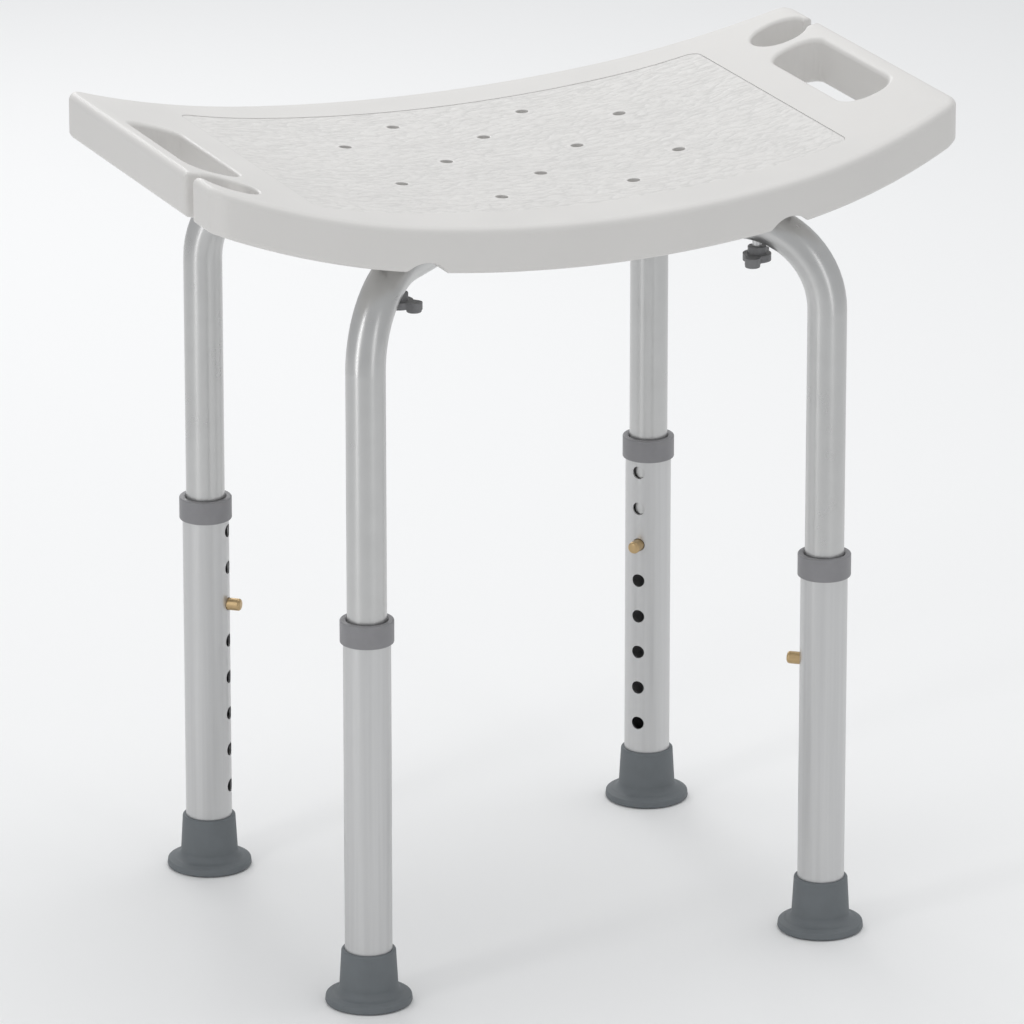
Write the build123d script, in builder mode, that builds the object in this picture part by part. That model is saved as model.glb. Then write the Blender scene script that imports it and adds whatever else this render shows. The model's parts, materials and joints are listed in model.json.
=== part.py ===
from build123d import *
from math import asin, cos, degrees, hypot, radians, sin
import os

# A height-adjustable shower stool. Millimetres, +Z up, +X to the right, the front is towards -Y.
# The origin is on the floor, under the middle of the seat.

# ---- driving dimensions ---------------------------------------------------------------------

# legs: two U-shaped tubes cross under the seat, and each ends in two legs
LEG_X = 157.5                       # leg axis from the middle, along the seat
LEG_Y = 132.6                       # leg axis from the middle, across the seat
RUN_Z = 469.0                       # axis height of the tubes under the seat
BEND_RADIUS = 55.0                  # on the tube's axis
UPPER_RADIUS = 12.5
UPPER_WALL = 1.2
UPPER_END_Z = 163.0                 # lower end of the upper tube
LOWER_RADIUS = 15.0
LOWER_WALL = 1.3
LOWER_FOOT_Z = 6.0                  # lower end of the lower tube, on its washer
LOWER_TOP_Z = 250.5

# height setting: a row of holes in each lower tube, and one button in each upper tube
HOLE_COUNT = 8
HOLE_PITCH = 25.0
FIRST_HOLE_Z = 55.8
HOLE_RADIUS = 4.35
BUTTON_Z = FIRST_HOLE_Z + 5 * HOLE_PITCH
BUTTON_RADIUS = 4.0
BUTTON_TIP = 23.5                   # how far the button reaches from the leg's axis
BUTTON_FLANGE_RADIUS = 5.2
BUTTON_FLANGE = 0.9
BUTTON_SEAT = 9.7                   # outer face of the button's flange, from the leg's axis
BUTTON_ROUNDING = 1.8
BUTTON_GAP = 0.35                   # radial gap of the button in the upper tube
CLIP_THICKNESS = 0.8
CLIP_WIDTH = 8.0
CLIP_BACK = 9.8                     # the far arm, from the leg's axis
CLIP_FOOT = 7.5                     # the arms end this far below the button
CLIP_CROWN = 42.0                   # the bend, above the button
CLIP_BEND = 1.9

# seat
SEAT_HALF_LENGTH = 254.0
SEAT_HALF_WIDTH = 156.0             # at the middle; the long edges bow out
SEAT_TOP_Z = 499.0                  # at the middle; the ends rise
SEAT_THICKNESS = 29.5
SEAT_WALL = 3.0
SADDLE = (120.0, 1014.0, 534.0)     # half length of the middle arc, its radius, the end arcs' radius
BOW = (121.6, 1396.0, 620.0)        # the same three for the long edges, in plan
SEAT_CORNER = 12.0
TOP_EDGE_RADIUS = 5.0
BOTTOM_EDGE_RADIUS = 4.0

DRAIN_RADIUS = 4.0
DRAINS = [(0, 44.3), (45, 0), (45, 85.5), (95, 45)]     # one quarter; mirrored both ways

GRIP_X = 223.0                      # middle of a hand slot
GRIP_SIZE = (34.0, 120.0)
GRIP_CORNER = 15.0
HOLDER_X, HOLDER_Y = 229.0, 89.0    # middle of a shower-head holder
HOLDER_RADIUS = 18.0
HOLDER_MOUTH = 12.0                 # width of the slot out through the seat's end
HOLDER_MOUTH_Y = 84.0
RIM_RADIUS = 2.5                    # rounded rims of the slots and holders

PANEL_HALF_LENGTH = 181.0
PANEL_HALF_WIDTH = 119.5            # at the middle
PANEL_END_HALF_WIDTH = 113.0
PANEL_CORNER = 8.0
PANEL_DEPTH = 0.5

CHANNEL_RADIUS = 13.0               # half-round channels for the tubes
CHANNEL_REACH = 186.0               # from the middle, along the tube
CROSSING_HALF_WIDTH = 18.0
CROSSING_REACH = 47.0
ARCH_X = 124.0                      # access arches in the long edges, beside the knobs
ARCH_RADIUS = 17.0
ARCH_Z = 467.3
ARCH_END_Y = 100.0
UNDERSIDE_DEPTH = 40.0              # the cuts under the seat are open downwards

# crossing
FLAT_HALF_WIDTH = 16.2              # the flattened tube's section is an ellipse
FLAT_HALF_HEIGHT = 6.1
FLAT_LIFT = 6.3                     # its middle, above or below the tube's axis
FLAT_REACH = 24.0
ROUND_REACH = 45.0                  # the tube is round again from here
RIVET_RADIUS = 3.0
RIVET_FIT = 0.1                     # radial clearance in the tubes
RIVET_HEAD_RADIUS = 5.5
RIVET_HEAD = 2.2
RIVET_POCKET_RADIUS = 7.5
RIVET_POCKET_Z = 486.0

# knobs
KNOB_REACH = 160.0                  # knob axis from the middle, along the tube
KNOB_TOP_Z = 452.4
KNOB_HUB_RADIUS = 5.9
KNOB_HUB = 4.9
KNOB_PLATE_RADIUS = 9.0
KNOB_PLATE = 4.4
KNOB_WING_REACH = 16.2
KNOB_WING_WIDTH = 9.6
KNOB_LIP = 1.9                      # the wing tips reach this far below the plate
KNOB_LIP_SHIFT = 0.6
KNOB_ROUNDING = 0.7
KNOB_SOCKET = 1.5                   # floor of the knob under its stud
KNOB_TURN = {"front_left": -53, "front_right": -130, "back_left": 60, "back_right": 150}     # degrees
STUD_RADIUS = 3.0
STUD_TOP_Z = 493.0
STUD_HOLE_RADIUS = 3.6
STUD_CHAMFER = 0.8
INSERT_RADIUS = 5.0
INSERT_BASE_Z = 482.4
INSERT_TOP_Z = 494.5
INSERT_CHAMFER = 0.6
SHAFT_FIT = 0.05                    # radial clearance of the stud in its insert
SHAFT_END_GAP = 0.5

# collar, foot and glide
COLLAR_RADIUS = 17.0
COLLAR_BASE_Z = 238.3
COLLAR_TOP_Z = 253.3
COLLAR_ROUNDING = 1.0
COLLAR_CHAMFER = 0.9
SLIDING_GAP = 0.3                   # radial gap between pieces that slide on each other
SLEEVE_BASE_Z = 240.5
GLIDE_FLANGE = 2.8
GLIDE_SPIGOT = 8.0
GLIDE_BORE = 7.5
GLIDE_CHAMFER = 0.6
FOOT_RADIUS = 27.5
FOOT_FLANGE = 4.8
FOOT_EDGE = 1.2                     # rounding of the flange's rim
FOOT_DRAFT = 0.3                    # the rim leans in by this much
FOOT_SLOPE = 1.2                    # rise of the flange towards the neck
FOOT_NECK_RADIUS = 18.5             # where the body meets the flange
FOOT_NECK = (5.0, 7.0)              # the sweep from flange to body: how wide, how high
FOOT_RIM_RADIUS = 17.25
FOOT_RIM = 1.35                     # rounding of the upper rim
FOOT_HEIGHT = 35.0
FOOT_RECESS_RADIUS = 19.0
FOOT_RECESS = 2.0
FOOT_RECESS_SLOPE = 1.5
WASHER_BASE_Z = 4.5
WASHER_FIT = 0.1

# ---- worked out -----------------------------------------------------------------------------

REACH = hypot(LEG_X, LEG_Y)         # leg axis from the middle, along the tube
ABOVE_ALL = SEAT_TOP_Z + 100        # higher than the seat's ends
MARGIN = 5.0                        # how far a cut runs past what it cuts
ACROSS = LEG_X / REACH, LEG_Y / REACH
LEGS = {"front_left": (-1, -1), "front_right": (1, -1), "back_left": (-1, 1), "back_right": (1, 1)}


def inward(leg):
    """The horizontal direction from a leg's axis to the middle of the stool."""
    side, end = LEGS[leg]
    return -side * ACROSS[0], -end * ACROSS[1], 0


def leg_plane(leg, z=0.0):
    """A horizontal plane on a leg's axis, with X pointing inward."""
    side, end = LEGS[leg]
    return Plane(origin=(side * LEG_X, end * LEG_Y, z), x_dir=inward(leg), z_dir=(0, 0, 1))


def leg_axis(leg):
    side, end = LEGS[leg]
    return Axis((side * LEG_X, end * LEG_Y, 0), (0, 0, 1))


def leg_section(leg):
    """The upright plane through a leg's axis and the middle: X is inward, Y is up."""
    ux, uy, _ = inward(leg)
    side, end = LEGS[leg]
    return Plane(origin=(side * LEG_X, end * LEG_Y, 0), x_dir=(ux, uy, 0), z_dir=(uy, -ux, 0))


def run_plane(leg):
    """The upright plane of the tube that ends in this leg: X runs to the leg, Y is up."""
    ux, uy, _ = inward(leg)
    return Plane(origin=(0, 0, 0), x_dir=(-ux, -uy, 0), z_dir=(-uy, ux, 0))


def cross_section(leg, reach, z=RUN_Z):
    """The plane square to the tube at a distance from the middle: X is horizontal, Y is up."""
    ux, uy, _ = inward(leg)
    return Plane(origin=(-ux * reach, -uy * reach, z), x_dir=(uy, -ux, 0), z_dir=(-ux, -uy, 0))


def save(name, builder):
    builder.part.label = name
    export_step(builder.part, f"parts/{name}.step")


# ---- seat -----------------------------------------------------------------------------------

def two_arc_curve(shape, half_length, start, turn):
    """Half of a symmetric curve: a middle arc and a tighter end arc, from (0, start) to x = half_length."""
    middle, radius, end_radius = shape
    middle_angle = asin(middle / radius)
    end_angle = asin(sin(middle_angle) + (half_length - middle) / end_radius)
    first = JernArc((0, start), (1, 0), radius, turn * degrees(middle_angle))
    second = JernArc(first @ 1, first % 1, end_radius, turn * degrees(end_angle - middle_angle))
    return first, second


def curved_slab(top_z, thickness, inset):
    """The saddle-shaped slab inside the seat's outline, drawn in from its edge by the inset."""
    half_length = SEAT_HALF_LENGTH - inset
    half_width = SEAT_HALF_WIDTH - inset
    with BuildPart() as slab:
        with BuildSketch(Plane.XZ):
            with BuildLine():
                _, top = two_arc_curve(SADDLE, half_length + MARGIN, top_z, 1)
                _, bottom = two_arc_curve(SADDLE, half_length + MARGIN, top_z - thickness, 1)
                Line(top @ 1, bottom @ 1)
                mirror(about=Plane.YZ)
            make_face()
        extrude(amount=half_width + MARGIN, both=True)
        with BuildSketch(Plane.XY):
            with BuildLine():
                _, front = two_arc_curve(BOW, half_length, -half_width, 1)
                _, back = two_arc_curve(BOW, half_length, half_width, -1)
                Line(front @ 1, back @ 1)
                mirror(about=Plane.YZ)
            make_face()
            corners = vertices().filter_by(lambda v: abs(v.X) > half_length - MARGIN)
            fillet(corners, radius=SEAT_CORNER - inset)
        extrude(amount=ABOVE_ALL, mode=Mode.INTERSECT)
    return slab.part


def outer_edges(slab, up):
    """The edge loop round a slab's top (up = 1) or bottom (up = -1)."""
    skin = [face for face in slab.faces() if face.normal_at().Z * up > 0.5]
    edges = [edge for face in skin for edge in face.edges()]
    return [edge for edge in edges if sum(edge.is_same(other) for other in edges) == 1]


def rotated_pair(x, y):
    """A point and its partner, half a turn round the middle of the seat."""
    return [(x, y), (-x, -y)]


def drain_points():
    points = set()
    for x, y in DRAINS:
        points |= {(x, y), (-x, y), (x, -y), (-x, -y)}
    return sorted(points)


def insert_points():
    return [(-inward(leg)[0] * KNOB_REACH, -inward(leg)[1] * KNOB_REACH) for leg in LEGS]


def underside_tool(gap):
    """The room under the seat for the tubes, the crossing and the four arches, grown by a gap."""
    radius = CHANNEL_RADIUS + gap
    depth = UNDERSIDE_DEPTH
    with BuildPart() as tool:
        for leg in ("front_right", "back_right"):
            with BuildSketch(cross_section(leg, 0)):
                Circle(radius)
                with Locations((0, -depth / 2)):
                    Rectangle(2 * radius, depth)
            extrude(amount=CHANNEL_REACH + gap, both=True)
            with BuildSketch(cross_section(leg, 0)):
                with Locations((0, (radius - depth) / 2)):
                    Rectangle(2 * (CROSSING_HALF_WIDTH + gap), depth + radius)
            extrude(amount=CROSSING_REACH + gap, both=True)
        for side in (-1, 1):
            arch_start = Plane.XZ.offset(side * (ARCH_END_Y - gap))
            with BuildSketch(arch_start):
                with Locations((-ARCH_X, ARCH_Z), (ARCH_X, ARCH_Z)):
                    Circle(ARCH_RADIUS + gap)
                with Locations((-ARCH_X, ARCH_Z - depth / 2), (ARCH_X, ARCH_Z - depth / 2)):
                    Rectangle(2 * (ARCH_RADIUS + gap), depth)
            extrude(amount=side * (SEAT_HALF_WIDTH + MARGIN - ARCH_END_Y))
    return tool.part


def opening_tool(gap):
    """The hand slots, the shower-head holders with their mouths, and the drains, grown by a gap."""
    mouth_reach = SEAT_HALF_LENGTH + MARGIN - HOLDER_X
    with BuildPart() as tool:
        with BuildSketch(Plane.XY):
            with Locations((GRIP_X, 0), (-GRIP_X, 0)):
                RectangleRounded(GRIP_SIZE[0] + 2 * gap, GRIP_SIZE[1] + 2 * gap, GRIP_CORNER + gap)
        extrude(amount=ABOVE_ALL)
        with BuildSketch(Plane.XY):
            for x, y in rotated_pair(HOLDER_X, HOLDER_Y):
                with Locations((x, y)):
                    Circle(HOLDER_RADIUS + gap)
            for x, y in rotated_pair(HOLDER_X + mouth_reach / 2, HOLDER_MOUTH_Y):
                with Locations((x, y)):
                    Rectangle(mouth_reach, HOLDER_MOUTH + 2 * gap)
        extrude(amount=ABOVE_ALL)
        with BuildSketch(Plane.XY):
            with Locations(*drain_points()):
                Circle(DRAIN_RADIUS + gap)
        extrude(amount=ABOVE_ALL)
    return tool.part


def panel_tool():
    """The shallow recess that holds the grip texture: its floor follows the saddle."""
    skin = curved_slab(SEAT_TOP_Z + MARGIN, MARGIN + PANEL_DEPTH, 0)
    with BuildPart() as tool:
        with BuildSketch(Plane.XY):
            with BuildLine():
                front = ThreePointArc((-PANEL_HALF_LENGTH, -PANEL_END_HALF_WIDTH), (0, -PANEL_HALF_WIDTH),
                                      (PANEL_HALF_LENGTH, -PANEL_END_HALF_WIDTH))
                back = ThreePointArc((PANEL_HALF_LENGTH, PANEL_END_HALF_WIDTH), (0, PANEL_HALF_WIDTH),
                                     (-PANEL_HALF_LENGTH, PANEL_END_HALF_WIDTH))
                Line(front @ 1, back @ 0)
                Line(back @ 1, front @ 0)
            make_face()
            fillet(vertices(), radius=PANEL_CORNER)
        extrude(amount=ABOVE_ALL)
        add(skin, mode=Mode.INTERSECT)
    return tool.part


def grip_rims(body):
    """The upper and lower edges of the two hand slots."""
    slack = 1.0
    near = [edge for edge in body.edges() if abs(abs(edge.center().X) - GRIP_X) < GRIP_SIZE[0] / 2 + slack]
    inside = [edge for edge in near if abs(edge.center().Y) < GRIP_SIZE[1] / 2 + slack]
    upright = 0.6
    return [edge for edge in inside if abs(edge.tangent_at(0.5).Z) < upright]


def make_seat():
    """One hollow blow-moulded body. Slot walls, channel walls and bosses stand in its sealed hollow."""
    slab = curved_slab(SEAT_TOP_Z, SEAT_THICKNESS, 0)
    openings = opening_tool(0)
    underside = underside_tool(0)
    panel = panel_tool()
    hollow = curved_slab(SEAT_TOP_Z - SEAT_WALL, SEAT_THICKNESS - 2 * SEAT_WALL, SEAT_WALL)
    opening_walls = opening_tool(SEAT_WALL)
    underside_walls = underside_tool(SEAT_WALL)
    with BuildPart() as cavity:
        add(hollow)
        add(opening_walls, mode=Mode.SUBTRACT)
        add(underside_walls, mode=Mode.SUBTRACT)
        with BuildSketch(Plane.XY):
            with Locations(*insert_points()):
                Circle(INSERT_RADIUS + SEAT_WALL)
        extrude(amount=INSERT_TOP_Z + SEAT_WALL, mode=Mode.SUBTRACT)
        with BuildSketch(Plane.XY):
            Circle(RIVET_POCKET_RADIUS + SEAT_WALL)
        extrude(amount=RIVET_POCKET_Z + SEAT_WALL, mode=Mode.SUBTRACT)
    with BuildPart() as seat:
        add(slab)
        fillet(outer_edges(seat.part, 1), radius=TOP_EDGE_RADIUS)
        fillet(outer_edges(seat.part, -1), radius=BOTTOM_EDGE_RADIUS)
        add(openings, mode=Mode.SUBTRACT)
        fillet(grip_rims(seat.part), radius=RIM_RADIUS)
        add(underside, mode=Mode.SUBTRACT)
        add(panel, mode=Mode.SUBTRACT)
        with BuildSketch(Plane.XY):
            Circle(RIVET_POCKET_RADIUS)
        extrude(amount=RIVET_POCKET_Z, mode=Mode.SUBTRACT)
        with BuildSketch(Plane.XY):
            with Locations(*insert_points()):
                Circle(INSERT_RADIUS)
        extrude(amount=INSERT_TOP_Z, mode=Mode.SUBTRACT)
        add(cavity.part, mode=Mode.SUBTRACT)
    save("seat", seat)
    return seat


# ---- frame ----------------------------------------------------------------------------------

def tube_solid(leg, radius, flat_width, flat_height, lift, end_z):
    """One solid cross tube from leg to leg: round, bent at both ends and flattened in the middle."""
    plane = run_plane(leg)
    bend_start = REACH - BEND_RADIUS
    with BuildPart() as tube:
        for side in (-1, 1):
            with BuildLine(plane) as path:
                upright = Line((side * REACH, end_z), (side * REACH, RUN_Z - BEND_RADIUS))
                bend = TangentArc(upright @ 1, (side * bend_start, RUN_Z), tangent=upright % 1)
                Line(bend @ 1, (side * ROUND_REACH, RUN_Z))
            with BuildSketch(leg_plane(leg, end_z) if side > 0 else leg_plane(opposite(leg), end_z)):
                Circle(radius)
            sweep(path=path.wires()[0])
            with BuildSketch(cross_section(leg, side * ROUND_REACH)):
                Circle(radius)
            with BuildSketch(cross_section(leg, side * FLAT_REACH, RUN_Z + lift)):
                Ellipse(flat_width, flat_height)
            loft()
        with BuildSketch(cross_section(leg, 0, RUN_Z + lift)):
            Ellipse(flat_width, flat_height)
        extrude(amount=FLAT_REACH, both=True)
    return tube.part


def opposite(leg):
    side, end = LEGS[leg]
    return next(name for name, place in LEGS.items() if place == (-side, -end))


def make_cross_tube(name, leg, lift):
    """A U of aluminium tube with holes for the studs, the snap buttons and the rivet."""
    bore_radius = UPPER_RADIUS - UPPER_WALL
    bore = tube_solid(leg, bore_radius, FLAT_HALF_WIDTH - UPPER_WALL, FLAT_HALF_HEIGHT - UPPER_WALL,
                      lift, UPPER_END_Z - MARGIN)
    outside = tube_solid(leg, UPPER_RADIUS, FLAT_HALF_WIDTH, FLAT_HALF_HEIGHT, lift, UPPER_END_Z)
    with BuildPart() as tube:
        add(outside)
        add(bore, mode=Mode.SUBTRACT)
        for end in (leg, opposite(leg)):
            ux, uy, _ = inward(end)
            with BuildSketch(Plane((-ux * KNOB_REACH, -uy * KNOB_REACH, RUN_Z))):
                Circle(STUD_HOLE_RADIUS)
            extrude(amount=UPPER_RADIUS + MARGIN, both=True, mode=Mode.SUBTRACT)
            with BuildSketch(button_plane(end, 0)):
                Circle(BUTTON_RADIUS + BUTTON_GAP)
            extrude(amount=UPPER_RADIUS + MARGIN, mode=Mode.SUBTRACT)
        with BuildSketch(Plane.XY.offset(RUN_Z)):
            Circle(RIVET_RADIUS + RIVET_FIT)
        extrude(amount=UPPER_RADIUS + MARGIN, both=True, mode=Mode.SUBTRACT)
    save(name, tube)


def button_plane(leg, reach):
    """The plane square to a snap button, at a distance from the leg's axis, facing inward."""
    ux, uy, _ = inward(leg)
    side, end = LEGS[leg]
    centre = (side * LEG_X + ux * reach, end * LEG_Y + uy * reach, BUTTON_Z)
    return Plane(origin=centre, x_dir=(-uy, ux, 0), z_dir=(ux, uy, 0))


def make_crossing_rivet():
    """Holds the two flattened tubes together, head above and head below."""
    stack = FLAT_LIFT + FLAT_HALF_HEIGHT
    dome = 0.8 * RIVET_HEAD
    with BuildPart() as rivet:
        for side in (-1, 1):
            with BuildSketch(Plane.XY.offset(RUN_Z + side * stack)):
                Circle(RIVET_HEAD_RADIUS)
            extrude(amount=side * RIVET_HEAD)
        fillet(rivet.edges().group_by(Axis.Z)[-1], radius=dome)
        fillet(rivet.edges().group_by(Axis.Z)[0], radius=dome)
        with BuildSketch(Plane.XY.offset(RUN_Z - stack)):
            Circle(RIVET_RADIUS)
        extrude(amount=2 * stack)
    save("crossing_rivet", rivet)


def make_insert(leg):
    """A threaded bush moulded into the seat, which the knob's stud screws into."""
    x, y, _ = (-u * KNOB_REACH for u in inward(leg))
    with BuildPart() as insert:
        with BuildSketch(Plane((x, y, INSERT_BASE_Z))):
            Circle(INSERT_RADIUS)
        extrude(amount=INSERT_TOP_Z - INSERT_BASE_Z)
        with BuildSketch(Plane((x, y, INSERT_BASE_Z))):
            Circle(STUD_RADIUS + SHAFT_FIT)
        extrude(amount=STUD_TOP_Z + SHAFT_END_GAP - INSERT_BASE_Z, mode=Mode.SUBTRACT)
        mouth = insert.edges().filter_by(GeomType.CIRCLE).group_by(Axis.Z)[0].sort_by(SortBy.RADIUS)[0]
        chamfer(mouth, INSERT_CHAMFER)
    save(f"threaded_insert_{leg}", insert)


# ---- hand knobs -----------------------------------------------------------------------------

def make_knob(leg):
    """A winged plastic knob: hub, round plate and two wings with a lip turned down at the end."""
    x, y, _ = (-u * KNOB_REACH for u in inward(leg))
    turn = radians(KNOB_TURN[leg])
    plate_top = KNOB_TOP_Z - KNOB_HUB
    plate_bottom = plate_top - KNOB_PLATE
    along = (cos(turn), sin(turn), 0)
    upward = Plane(origin=(x, y, plate_bottom), x_dir=along, z_dir=(0, 0, 1))
    straight = KNOB_WING_REACH - KNOB_WING_WIDTH / 2
    with BuildPart() as knob:
        with BuildSketch(upward):
            Circle(KNOB_PLATE_RADIUS)
            for side in (-1, 1):
                with Locations((side * straight / 2, 0)):
                    Rectangle(straight, KNOB_WING_WIDTH)
                with Locations((side * straight, 0)):
                    Circle(KNOB_WING_WIDTH / 2)
        extrude(amount=KNOB_PLATE)
        with BuildSketch(upward):
            for side in (-1, 1):
                with Locations((side * (straight - KNOB_LIP_SHIFT), 0)):
                    Circle(KNOB_WING_WIDTH / 2)
        extrude(amount=-KNOB_LIP)
        fillet(knob.edges().group_by(Axis.Z)[0], radius=KNOB_ROUNDING)
        with BuildSketch(upward.offset(KNOB_PLATE)):
            Circle(KNOB_HUB_RADIUS)
        extrude(amount=KNOB_HUB)
        fillet(knob.edges().group_by(Axis.Z)[-1], radius=KNOB_ROUNDING)
        with BuildSketch(upward.offset(KNOB_SOCKET)):
            Circle(STUD_RADIUS)
        extrude(amount=KNOB_HUB + KNOB_PLATE, mode=Mode.SUBTRACT)
    save(f"hand_knob_{leg}", knob)


def make_stud(leg):
    """The knob's steel stud: it goes up through the tube and into the insert."""
    x, y, _ = (-u * KNOB_REACH for u in inward(leg))
    base_z = KNOB_TOP_Z - KNOB_HUB - KNOB_PLATE + KNOB_SOCKET
    with BuildPart() as stud:
        with BuildSketch(Plane((x, y, base_z))):
            Circle(STUD_RADIUS)
        extrude(amount=STUD_TOP_Z - base_z)
        chamfer(stud.edges().group_by(Axis.Z)[-1], STUD_CHAMFER)
    save(f"knob_stud_{leg}", stud)


# ---- legs -----------------------------------------------------------------------------------

def make_lower_tube(leg):
    """The outer tube of a leg, with its row of height holes facing inward."""
    with BuildPart() as tube:
        with BuildSketch(leg_plane(leg, LOWER_FOOT_Z)):
            Circle(LOWER_RADIUS)
            Circle(LOWER_RADIUS - LOWER_WALL, mode=Mode.SUBTRACT)
        extrude(amount=LOWER_TOP_Z - LOWER_FOOT_Z)
        with BuildSketch(button_plane(leg, 0)):
            with Locations(*[(0, FIRST_HOLE_Z + n * HOLE_PITCH - BUTTON_Z) for n in range(HOLE_COUNT)]):
                Circle(HOLE_RADIUS)
        extrude(amount=LOWER_RADIUS + MARGIN, mode=Mode.SUBTRACT)
    save(f"lower_tube_{leg}", tube)


def make_collar(leg):
    """The plastic ring on top of the lower tube. Its lip covers the tube's end, and its sleeve is a guide."""
    bore = UPPER_RADIUS + SLIDING_GAP
    sleeve = LOWER_RADIUS - LOWER_WALL
    with BuildPart() as collar:
        with BuildSketch(leg_section(leg)):
            with BuildLine():
                Polyline((bore, SLEEVE_BASE_Z), (sleeve, SLEEVE_BASE_Z), (sleeve, LOWER_TOP_Z),
                         (LOWER_RADIUS, LOWER_TOP_Z), (LOWER_RADIUS, COLLAR_BASE_Z),
                         (COLLAR_RADIUS, COLLAR_BASE_Z), (COLLAR_RADIUS, COLLAR_TOP_Z),
                         (bore, COLLAR_TOP_Z), close=True)
            make_face()
            rim = vertices().sort_by(Axis.X)[-2:]
            fillet(rim, radius=COLLAR_ROUNDING)
            mouth = vertices().filter_by(lambda v: v.X < sleeve and v.Y > LOWER_TOP_Z)
            chamfer(mouth, length=COLLAR_CHAMFER)
        revolve(axis=leg_axis(leg))
    save(f"collar_{leg}", collar)


def make_foot(leg):
    """A rubber ferrule with a wide flange. Its underside is recessed, so it stands on a ring."""
    recess = FOOT_RECESS_RADIUS - FOOT_RECESS_SLOPE
    edge = FOOT_RADIUS - FOOT_DRAFT
    flange_end = edge - FOOT_EDGE
    neck_width, neck_height = FOOT_NECK
    neck_start = FOOT_NECK_RADIUS + neck_width
    neck_base = FOOT_FLANGE + FOOT_SLOPE
    corner = 0.3                    # share of a rounding that its middle point lies inside the corner
    with BuildPart() as foot:
        with BuildSketch(leg_section(leg)):
            with BuildLine():
                Polyline((0, FOOT_RECESS), (recess, FOOT_RECESS), (FOOT_RECESS_RADIUS, 0),
                         (FOOT_RADIUS - FOOT_EDGE, 0))
                ThreePointArc((FOOT_RADIUS - FOOT_EDGE, 0),
                              (FOOT_RADIUS - corner * FOOT_EDGE, corner * FOOT_EDGE),
                              (FOOT_RADIUS, FOOT_EDGE))
                Line((FOOT_RADIUS, FOOT_EDGE), (edge, FOOT_FLANGE - FOOT_EDGE))
                ThreePointArc((edge, FOOT_FLANGE - FOOT_EDGE),
                              (edge - corner * FOOT_EDGE, FOOT_FLANGE - corner * FOOT_EDGE),
                              (flange_end, FOOT_FLANGE))
                Line((flange_end, FOOT_FLANGE), (neck_start, neck_base))
                ThreePointArc((neck_start, neck_base),
                              (FOOT_NECK_RADIUS + corner * neck_width, neck_base + corner * neck_width),
                              (FOOT_NECK_RADIUS, FOOT_FLANGE + neck_height))
                Line((FOOT_NECK_RADIUS, FOOT_FLANGE + neck_height), (FOOT_RIM_RADIUS, FOOT_HEIGHT - FOOT_RIM))
                ThreePointArc((FOOT_RIM_RADIUS, FOOT_HEIGHT - FOOT_RIM),
                              (FOOT_RIM_RADIUS - corner * FOOT_RIM, FOOT_HEIGHT - corner * FOOT_RIM),
                              (FOOT_RIM_RADIUS - FOOT_RIM, FOOT_HEIGHT))
                Polyline((FOOT_RIM_RADIUS - FOOT_RIM, FOOT_HEIGHT), (LOWER_RADIUS, FOOT_HEIGHT),
                         (LOWER_RADIUS, WASHER_BASE_Z), (0, WASHER_BASE_Z), (0, FOOT_RECESS))
            make_face()
        revolve(axis=leg_axis(leg))
    save(f"rubber_foot_{leg}", foot)


def make_foot_washer(leg):
    """The steel disc in the foot, which stops the tube's end from cutting through the rubber."""
    with BuildPart() as washer:
        with BuildSketch(leg_plane(leg, WASHER_BASE_Z)):
            Circle(LOWER_RADIUS - WASHER_FIT)
        extrude(amount=LOWER_FOOT_Z - WASHER_BASE_Z)
    save(f"foot_washer_{leg}", washer)


def make_glide(leg):
    """The plastic bush in the lower end of the upper tube. Its flange slides in the lower tube."""
    flange = LOWER_RADIUS - LOWER_WALL - SLIDING_GAP
    with BuildPart() as glide:
        with BuildSketch(leg_plane(leg, UPPER_END_Z - GLIDE_FLANGE)):
            Circle(flange)
        extrude(amount=GLIDE_FLANGE)
        chamfer(glide.edges().group_by(Axis.Z)[0], GLIDE_CHAMFER)
        with BuildSketch(leg_plane(leg, UPPER_END_Z)):
            Circle(UPPER_RADIUS - UPPER_WALL)
        extrude(amount=GLIDE_SPIGOT)
        with BuildSketch(leg_plane(leg, UPPER_END_Z - GLIDE_FLANGE)):
            Circle(GLIDE_BORE)
        extrude(amount=GLIDE_SPIGOT + GLIDE_FLANGE, mode=Mode.SUBTRACT)
    save(f"glide_bush_{leg}", glide)


def make_button(leg):
    """The brass snap button, with a flange behind it that stays inside the upper tube."""
    with BuildPart() as button:
        with BuildSketch(button_plane(leg, BUTTON_SEAT - BUTTON_FLANGE)):
            Circle(BUTTON_FLANGE_RADIUS)
        extrude(amount=BUTTON_FLANGE)
        with BuildSketch(button_plane(leg, BUTTON_SEAT)):
            Circle(BUTTON_RADIUS)
        extrude(amount=BUTTON_TIP - BUTTON_SEAT)
        ux, uy, _ = inward(leg)
        tip = button.faces().sort_by(lambda face: face.center().dot(Vector(ux, uy, 0)))[-1]
        fillet(tip.edges(), radius=BUTTON_ROUNDING)
    save(f"snap_button_{leg}", button)


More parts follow.
